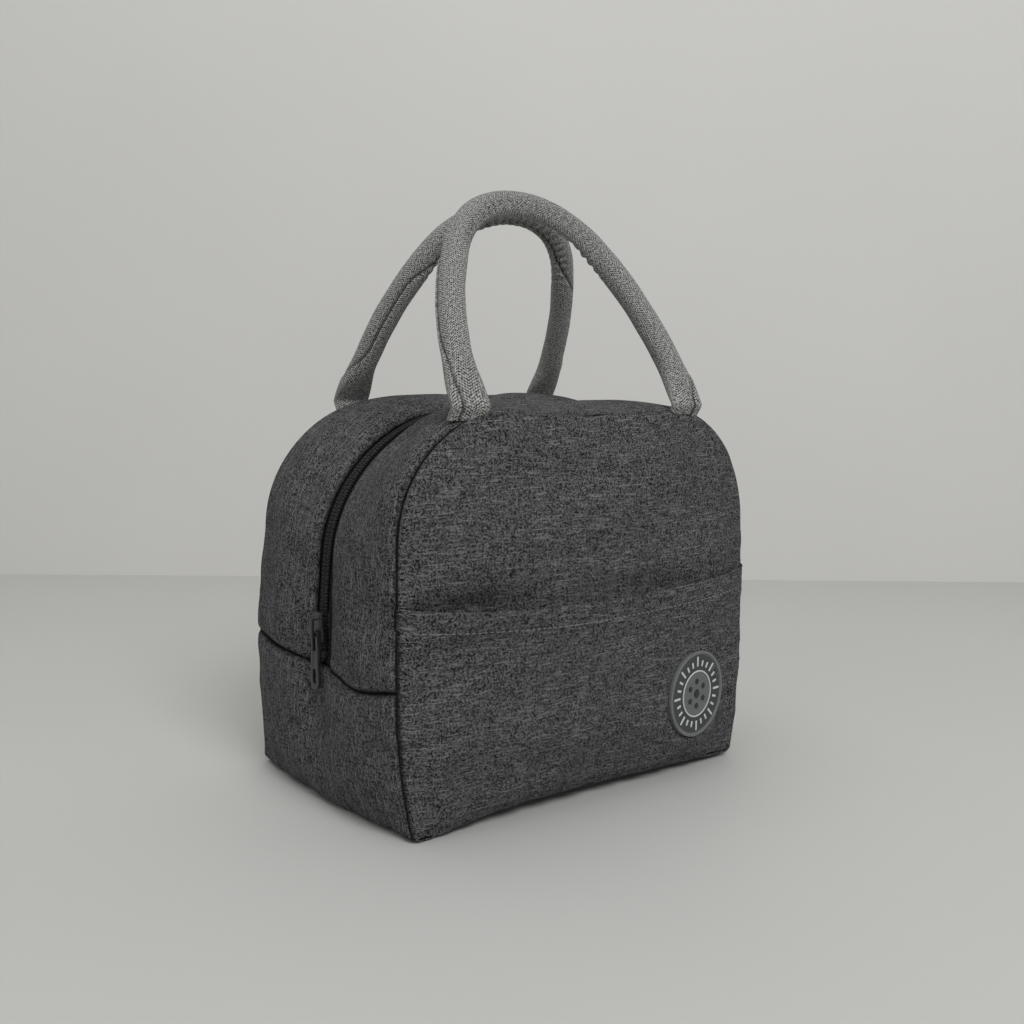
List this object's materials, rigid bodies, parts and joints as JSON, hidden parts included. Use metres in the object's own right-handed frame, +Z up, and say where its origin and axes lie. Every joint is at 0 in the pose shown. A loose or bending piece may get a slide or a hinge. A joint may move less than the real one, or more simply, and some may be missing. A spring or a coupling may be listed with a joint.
{
  "type": "insulated lunch bag",
  "caption": "Soft insulated lunch bag with a rounded top, a zipped gusset, a slip pocket on the front and padded loop handles.",
  "frame": {"origin": "middle of the base, on the surface that the bag stands on", "axes": "+X to the right along the front, -Y out of the front (the pocket's side), +Z up"},
  "size_m": [0.2273, 0.1656, 0.3069],
  "materials": {
    "outer_cloth": "heathered charcoal woven polyester",
    "foam": "closed-cell foam",
    "foil": "embossed foil film",
    "black_tape": "black woven tape",
    "coil": "black nylon coil",
    "webbing": "grey chevron webbing",
    "rope": "soft filler rope",
    "slider_metal": "black lacquered zinc",
    "badge_rubber": "soft moulded rubber",
    "badge_white": "pale moulded rubber",
    "badge_black": "black moulded rubber"
  },
  "bodies": {
    "tub": {"lower_gusset": "outer_cloth", "lower_gusset_foam": "foam", "lower_gusset_liner": "foil", "front_panel_lower": "outer_cloth", "front_foam_lower": "foam", "front_liner_lower": "foil", "front_binding_lower": "black_tape", "back_panel_lower": "outer_cloth", "back_foam_lower": "foam", "back_liner_lower": "foil", "back_binding_lower": "black_tape", "pocket_lower": "outer_cloth", "badge_disc": "badge_rubber", "badge_inlay": "badge_white", "badge_dots": "badge_black", "zip_bottom_stop": "slider_metal"},
    "front_half": {"front_panel_upper": "outer_cloth", "front_foam_upper": "foam", "front_liner_upper": "foil", "front_binding_upper": "black_tape", "front_gusset": "outer_cloth", "front_gusset_foam": "foam", "front_gusset_liner": "foil", "front_zip_tape": "black_tape", "front_zip_coil": "coil", "front_zip_top_stop": "slider_metal", "front_handle_tabs": "webbing", "pocket_upper": "outer_cloth"},
    "back_half": {"back_panel_upper": "outer_cloth", "back_foam_upper": "foam", "back_liner_upper": "foil", "back_binding_upper": "black_tape", "back_gusset": "outer_cloth", "back_gusset_foam": "foam", "back_gusset_liner": "foil", "back_zip_tape": "black_tape", "back_zip_coil": "coil", "back_zip_top_stop": "slider_metal", "back_handle_tabs": "webbing"},
    "front_handle": {"front_handle_cover": "webbing", "front_handle_core": "rope"},
    "back_handle": {"back_handle_cover": "webbing", "back_handle_core": "rope"},
    "slider": {"zip_slider": "slider_metal"},
    "pull": {"zip_pull": "slider_metal"}
  },
  "joints": [
    {"name": "front_mouth", "type": "hinge", "parent": "tub", "child": "front_half", "pos_m": [0, -0.087, 0.073], "axis": [1, 0, 0], "range_deg": [0, 16]},
    {"name": "back_mouth", "type": "hinge", "parent": "tub", "child": "back_half", "pos_m": [0, 0.079, 0.073], "axis": [-1, 0, 0], "range_deg": [0, 16]},
    {"name": "front_handle_swing", "type": "hinge", "parent": "front_half", "child": "front_handle", "pos_m": [0, -0.0732, 0.198], "axis": [1, 0, 0], "range_deg": [0, 185]},
    {"name": "back_handle_swing", "type": "hinge", "parent": "back_half", "child": "back_handle", "pos_m": [0, 0.0732, 0.198], "axis": [-1, 0, 0], "range_deg": [0, 185]},
    {"name": "slider_travel", "type": "slide", "parent": "front_half", "child": "slider", "axis": [0, 0, 1], "range_m": [-0.004, 0.04]},
    {"name": "pull_swing", "type": "hinge", "parent": "slider", "child": "pull", "pos_m": [-0.1138, 0, 0.0859], "axis": [0, 1, 0], "range_deg": [0, 165]}
  ]
}
